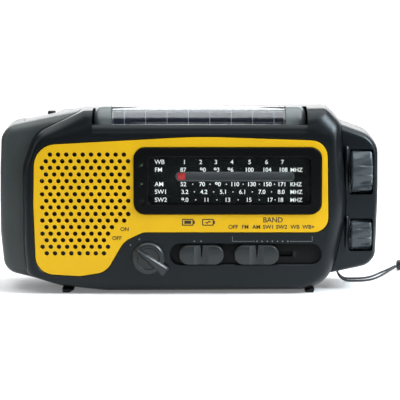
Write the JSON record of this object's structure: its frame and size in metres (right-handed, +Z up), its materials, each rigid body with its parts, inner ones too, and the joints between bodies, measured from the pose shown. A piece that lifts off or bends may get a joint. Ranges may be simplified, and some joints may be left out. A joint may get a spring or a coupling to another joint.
{
  "type": "portable radio",
  "caption": "Free-standing emergency radio with a tuning dial, tilting solar pod, folding hand crank, telescopic antenna, end flashlight and wrist strap.",
  "frame": {"origin": "on the floor under the middle of the radio, without its strap", "axes": "+X to the right seen from the front, -Y towards the listener, +Z up"},
  "size_m": [0.2563, 0.1055, 0.1025],
  "materials": {
    "black_shell": "semi-gloss black plastic",
    "grey_shell": "satin grey plastic",
    "pod_grey": "satin charcoal plastic",
    "yellow": "painted yellow plastic",
    "bezel_black": "black",
    "dial_print": "printed dial plate",
    "control_grey": "fine matt grey plastic",
    "black_knob": "black grip",
    "clear_plastic": "clear plastic",
    "solar_cells": "dark blue cells",
    "red": "red plastic",
    "led_green": "green lamp",
    "white_nylon": "natural nylon",
    "board": "circuit board",
    "steel": "plated steel",
    "chrome": "bright chrome",
    "brass": "brass",
    "battery": "sleeved cell",
    "rubber": "black rubber",
    "cord": "braided cord",
    "bead": "black bead"
  },
  "bodies": {
    "housing": {"front_housing": "black_shell", "rear_housing": "black_shell", "left_end_cap": "grey_shell", "control_pod_cover": "pod_grey", "front_panel": "yellow", "dial_bezel": "bezel_black", "speaker_cone": "bezel_black", "ferrite_rod": "bezel_black", "dial_scale": "dial_print", "dial_window": "clear_plastic", "lamp_lens": "clear_plastic", "indicator_led_1": "led_green", "indicator_led_2": "led_green", "tuning_capacitor": "white_nylon", "main_board": "board", "speaker_frame": "steel", "speaker_magnet": "steel", "volume_control": "steel", "generator": "steel", "battery_contact_left": "steel", "battery_contact_right": "steel", "housing_screw_1": "steel", "housing_screw_2": "steel", "housing_screw_3": "steel", "housing_screw_4": "steel", "lamp_reflector": "chrome", "battery_cell_1": "battery", "battery_cell_2": "battery", "battery_cell_3": "battery", "foot_left": "rubber", "foot_right": "rubber", "strap_cord_rear": "cord", "strap_cord_front": "cord", "strap_loop": "cord", "dial_cord": "cord", "strap_bead": "bead"},
    "tuning_wheel": {"tuning_wheel": "control_grey"},
    "pointer": {"dial_pointer": "red"},
    "left_pulley": {"dial_pulley_left": "white_nylon"},
    "right_pulley": {"dial_pulley_right": "white_nylon"},
    "volume_wheel": {"volume_wheel": "control_grey"},
    "charge_knob": {"charge_knob": "control_grey"},
    "power_slider": {"power_slider": "control_grey"},
    "band_slider": {"band_slider": "control_grey"},
    "solar_pod": {"solar_pod_shell": "black_shell", "solar_window": "clear_plastic", "solar_cell_panel": "solar_cells"},
    "antenna_swivel_base": {"antenna_base": "black_shell"},
    "antenna_1": {"antenna_tube_1": "chrome"},
    "antenna_2": {"antenna_tube_2": "chrome"},
    "antenna_3": {"antenna_tube_3": "chrome"},
    "antenna_4": {"antenna_rod": "chrome"},
    "crank": {"crank_arm": "grey_shell", "crank_gear": "white_nylon"},
    "crank_pin": {"crank_knob_pin": "steel"},
    "crank_grip": {"crank_knob": "black_knob"},
    "idler": {"idler_gear": "white_nylon"},
    "generator_rotor": {"generator_pinion": "brass"},
    "battery_door": {"battery_door": "black_shell"},
    "lamp_button": {"lamp_button": "pod_grey"}
  },
  "joints": [
    {"name": "tuning_turn", "type": "hinge", "parent": "housing", "child": "tuning_wheel", "pos_m": [0.0959, -0.0055, 0.0669], "axis": [1, 0, 0], "range_deg": [0, 420]},
    {"name": "pointer_slide", "type": "slide", "parent": "housing", "child": "pointer", "axis": [1, 0, 0], "range_m": [0, 0.0588]},
    {"name": "left_pulley_turn", "type": "hinge", "parent": "housing", "child": "left_pulley", "pos_m": [-0.016, -0.0158, 0.06115], "axis": [0, 1, 0], "range_deg": [0, 842.21]},
    {"name": "right_pulley_turn", "type": "hinge", "parent": "housing", "child": "right_pulley", "pos_m": [0.062, -0.0158, 0.06115], "axis": [0, 1, 0], "range_deg": [0, 842.21]},
    {"name": "volume_turn", "type": "hinge", "parent": "housing", "child": "volume_wheel", "pos_m": [0.0959, -0.0065, 0.03135], "axis": [1, 0, 0], "range_deg": [0, 300]},
    {"name": "charge_turn", "type": "hinge", "parent": "housing", "child": "charge_knob", "pos_m": [-0.0221, -0.027, 0.0202], "axis": [0, 1, 0], "range_deg": [0, 27]},
    {"name": "power_slide", "type": "slide", "parent": "housing", "child": "power_slider", "axis": [1, 0, 0], "range_m": [-0.0036, 0]},
    {"name": "band_slide", "type": "slide", "parent": "housing", "child": "band_slider", "axis": [1, 0, 0], "range_m": [0, 0.0176]},
    {"name": "solar_tilt", "type": "hinge", "parent": "housing", "child": "solar_pod", "pos_m": [0.00625, -0.005, 0.09], "axis": [1, 0, 0], "range_deg": [-40, 40]},
    {"name": "antenna_swivel", "type": "hinge", "parent": "housing", "child": "antenna_swivel_base", "pos_m": [0.072, 0.02, 0.0958], "axis": [0, 1, 0], "range_deg": [0, 95]},
    {"name": "antenna_tilt", "type": "hinge", "parent": "antenna_swivel_base", "child": "antenna_1", "pos_m": [0.0704, 0.02, 0.0958], "axis": [0, 0, -1], "range_deg": [0, 90]},
    {"name": "antenna_extend_1", "type": "slide", "parent": "antenna_1", "child": "antenna_2", "axis": [-1, 0, 0], "range_m": [0, 0.118]},
    {"name": "antenna_extend_2", "type": "slide", "parent": "antenna_2", "child": "antenna_3", "axis": [-1, 0, 0], "range_m": [0, 0.115]},
    {"name": "antenna_extend_3", "type": "slide", "parent": "antenna_3", "child": "antenna_4", "axis": [-1, 0, 0], "range_m": [0, 0.112]},
    {"name": "crank_turn", "type": "hinge", "parent": "housing", "child": "crank", "pos_m": [0.038, 0.01, 0.049], "axis": [0, 1, 0], "continuous": true},
    {"name": "crank_knob_fold", "type": "hinge", "parent": "crank", "child": "crank_pin", "pos_m": [0.009, 0.0233, 0.049], "axis": [0, 0, 1], "range_deg": [0, 90]},
    {"name": "crank_knob_spin", "type": "hinge", "parent": "crank_pin", "child": "crank_grip", "pos_m": [0.021, 0.0233, 0.049], "axis": [1, 0, 0], "continuous": true},
    {"name": "idler_turn", "type": "hinge", "parent": "housing", "child": "idler", "pos_m": [0.02025, 0.004, 0.03875], "axis": [0, 1, 0], "continuous": true},
    {"name": "generator_turn", "type": "hinge", "parent": "housing", "child": "generator_rotor", "pos_m": [0.00585, 0.001, 0.03875], "axis": [0, 1, 0], "continuous": true},
    {"name": "battery_door_lift", "type": "slide", "parent": "housing", "child": "battery_door", "axis": [0, 1, 0], "range_m": [0, 0.03]},
    {"name": "lamp_press", "type": "slide", "parent": "housing", "child": "lamp_button", "axis": [1, 0, 0], "range_m": [0, 0.0012], "stiffness_N_per_m": 300}
  ],
  "couplings": [
    {"joint": "pointer_slide", "follows": "tuning_turn", "m_per_rad": 0.008021},
    {"joint": "left_pulley_turn", "follows": "tuning_turn", "ratio": 2.0053},
    {"joint": "right_pulley_turn", "follows": "tuning_turn", "ratio": 2.0053},
    {"joint": "idler_turn", "follows": "crank_turn", "ratio": -3.5556},
    {"joint": "generator_turn", "follows": "crank_turn", "ratio": 10.667}
  ]
}
